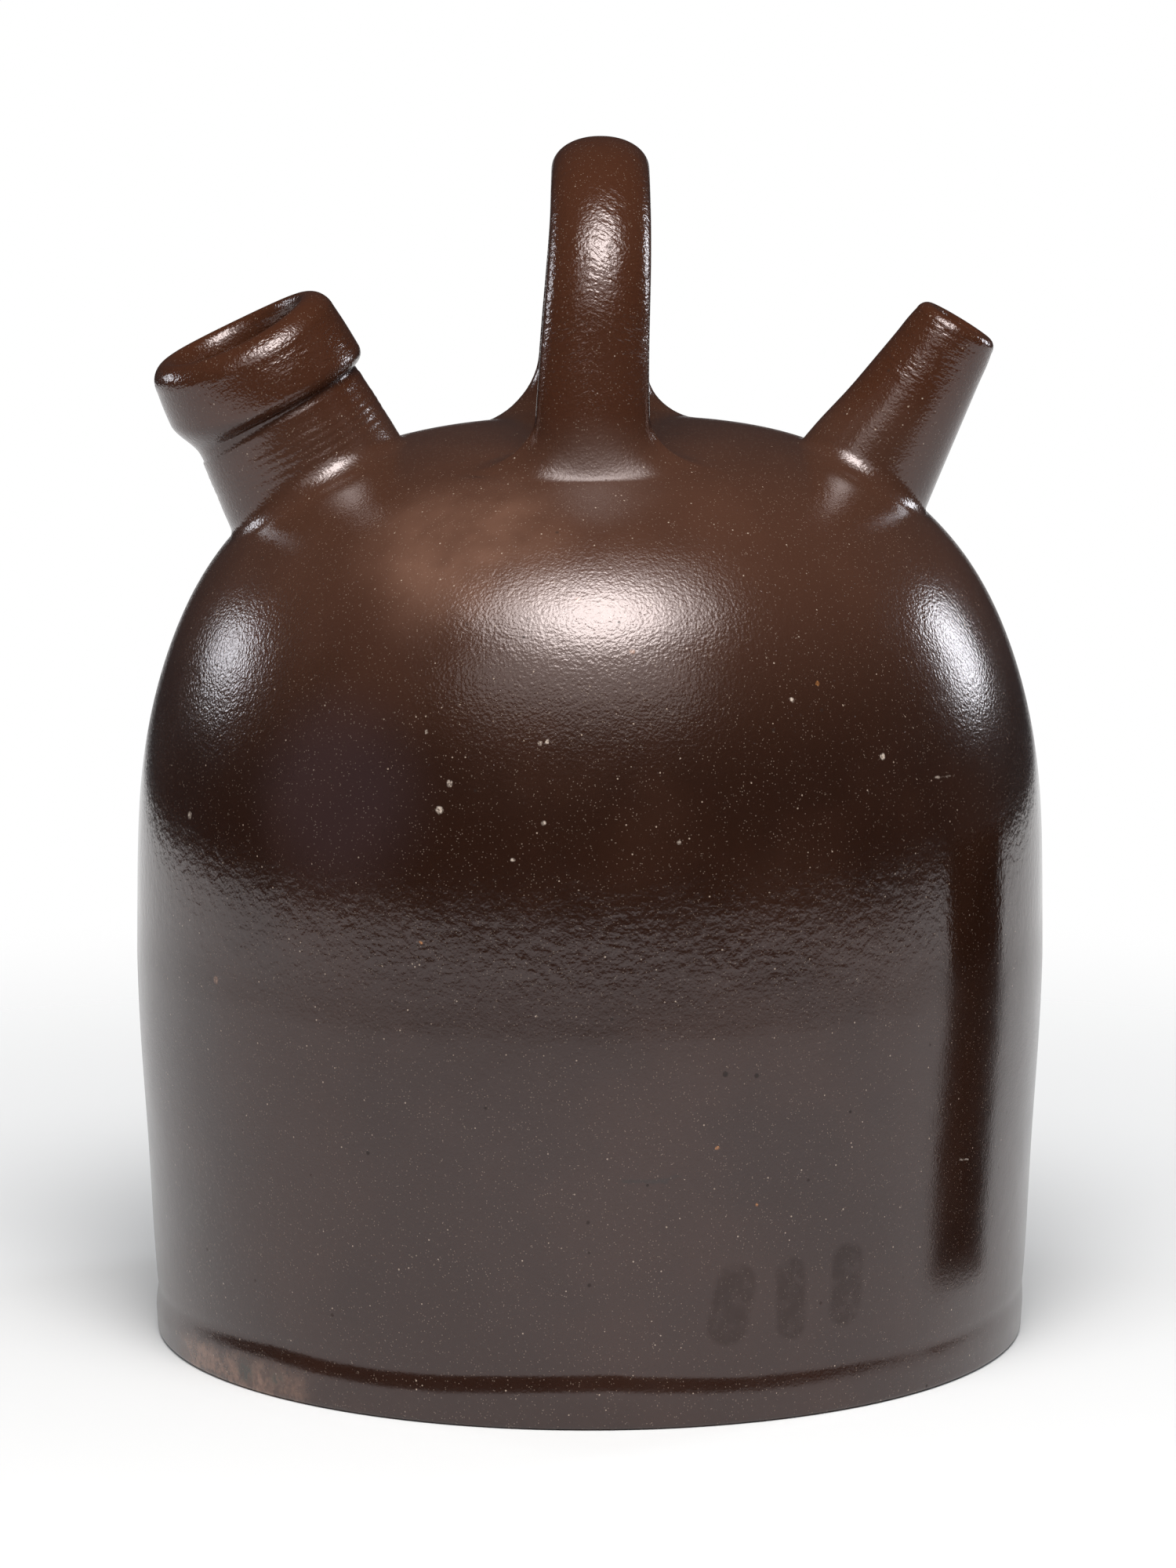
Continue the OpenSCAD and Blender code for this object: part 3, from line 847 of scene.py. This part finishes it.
table = dict(
    inner=0.02, reach=0.85, rings=24, around=96, fadeFrom=0.17, fadeTo=0.48,
    colour=(0.76, 0.78, 0.80), roughness=0.9,
)
card = dict(
    x=0.145, front=-0.050, back=-0.002, low=0.0005, high=0.112,
    colour=(0.012, 0.011, 0.012), roughness=1.0,
)
world = dict(
    fill=0.24, pale=(1.0, 1.0, 1.0), dim=(0.026, 0.026, 0.029),
    drop=0.145, edge=0.013, frontDrop=0.006, behindRise=0.085,   # where pale turns to dim, and how softly
)


def matt(shader, look):
    shader.inputs["Base Color"].default_value = (*look["colour"], 1)
    shader.inputs["Roughness"].default_value = look["roughness"]
    shader.inputs["Specular IOR Level"].default_value = 0.0


def tableTop():
    # z = 0 over a disc, as rings and spokes; its rim fades into the pale world behind it
    r = np.linspace(table["inner"], table["reach"], table["rings"])[:, None]
    points, faces = ringGrid(standing(r, 0 * r, evenAngles(table["around"])), closeFirst=True)
    floor = addMesh("tableTop", points, faces.tolist())
    material, shader, g = newMaterial("paleTable")
    matt(shader, table)
    place = g.node("ShaderNodeTexCoord", None, None, "Object")
    fade = g.vector("LENGTH", place, out="Value").above(table["fadeFrom"], table["fadeTo"])
    mixed = g.mixShaders(fade, Wire(g.tree, shader.outputs[0]), g.node("ShaderNodeBsdfTransparent"))
    mixed.into(g.tree.nodes["Material Output"], "Surface")
    floor.data.materials.append(material)


def darkCard():
    # a small upright black rectangle to the right, seen only in the glaze
    y, z = np.meshgrid([card["front"], card["back"]], [card["low"], card["high"]])
    points = np.stack([0 * y + card["x"], y, z], -1).reshape(-1, 3)
    screen = addMesh("darkCard", points, [(0, 1, 3, 2)])
    material, shader = newMaterial("blackCloth")[:2]
    matt(shader, card)
    screen.data.materials.append(material)
    screen.visible_camera = False
    screen.visible_diffuse = False
    screen.visible_shadow = False
    screen.visible_transmission = False
    screen.visible_volume_scatter = False


def onRays(g, kind):
    # 1 on one kind of ray
    return g.node("ShaderNodeLightPath", None, None, "Is " + kind + " Ray")


def paintWorld():
    # even fill for lighting; mirror rays see pale below a soft horizon and dim above it,
    # and the camera sees pale all round
    scene = bpy.context.scene
    scene.world = bpy.data.worlds.new("studio")
    scene.world.use_nodes = True
    g = Wire(scene.world.node_tree)
    x, y, z = g.axes(g.node("ShaderNodeTexCoord", None, None, "Generated"))
    behind = y.above(0.2, 0.5) * (1 - x.math("ABSOLUTE", x).above(0.13, 0.22))
    front = 1 - y.above(-0.3, 0.1)
    height = z + world["drop"] + front * world["frontDrop"] - behind * world["behindRise"]
    pale = (1 - height.above(-world["edge"], world["edge"])).most(onRays(g, "Camera"))
    colour = g.blend(pale, world["dim"], world["pale"])
    seen = g.node("ShaderNodeBackground", None, {"Color": colour, "Strength": 1.0})
    fill = g.node("ShaderNodeBackground", None, {"Color": (1, 1, 1, 1), "Strength": world["fill"]})
    background = (onRays(g, "Camera") + onRays(g, "Glossy") + onRays(g, "Transmission")).clamp()
    g.mixShaders(background, fill, seen).into(g.tree.nodes["World Output"], "Surface")


# Lamps and camera

lamps = dict(
    softboxWide=dict(azimuth=4, elevation=63.5, distance=1.35, width=1.40, height=1.08, watts=6.0),
    softboxMiddle=dict(azimuth=1, elevation=61.5, distance=1.34, width=1.16, height=0.66, watts=10.0),
    softboxCore=dict(azimuth=4, elevation=59.5, distance=1.33, width=0.62, height=0.50, watts=8.0),
    frontGlow=dict(azimuth=-4, elevation=38, distance=1.42, width=1.60, height=0.58, watts=2.9),
    leftRear=dict(azimuth=-118, elevation=13, distance=1.25, width=0.38, height=0.22, watts=1.65),
    rightRear=dict(azimuth=122, elevation=13, distance=1.25, width=0.24, height=0.32, watts=3.0,
                   shape="RECTANGLE"),
)
lampLook = dict(aim=0.16, frontTint=(1.0, 0.965, 0.93), rearTint=(0.90, 0.94, 1.0))


def hangLamp(name, azimuth, elevation, distance, width, height, watts, shape="ELLIPSE"):
    # azimuth 0 is on the camera's side, 90 on the right; the lamp faces the jug's shoulder
    data = bpy.data.lights.new(name, "AREA")
    data.shape = shape
    data.size = width
    data.size_y = height
    data.energy = watts
    data.color = lampLook["frontTint"] if abs(azimuth) < 90 else lampLook["rearTint"]
    lamp = bpy.data.objects.new(name, data)
    a, e = math.radians(azimuth), math.radians(elevation)
    way = Vector((math.sin(a) * math.cos(e), -math.cos(a) * math.cos(e), math.sin(e)))
    lamp.location = Vector((0, 0, lampLook["aim"])) + way * distance
    lamp.rotation_euler = way.to_track_quat("Z", "Y").to_euler()
    lamp.visible_camera = False
    bpy.context.scene.collection.objects.link(lamp)


eye = dict(height=0.4305, back=1.7031, pitch=10.283, side=-0.0005, lens=180.0, sensor=36.0)


def setCamera():
    data = bpy.data.cameras.new("viewpoint")
    data.lens = eye["lens"]
    data.sensor_width = eye["sensor"]
    data.sensor_fit = "AUTO"
    data.clip_start = 0.05
    data.clip_end = 50
    camera = bpy.data.objects.new("viewpoint", data)
    camera.location = (eye["side"], -eye["back"], eye["height"])
    camera.rotation_euler = (math.radians(90 - eye["pitch"]), 0, 0)
    bpy.context.scene.collection.objects.link(camera)
    bpy.context.scene.camera = camera


tableTop()
darkCard()
paintWorld()
for name, settings in lamps.items():
    hangLamp(name, **settings)
setCamera()
bpy.context.scene.view_settings.view_transform = "Standard"
print("stage")
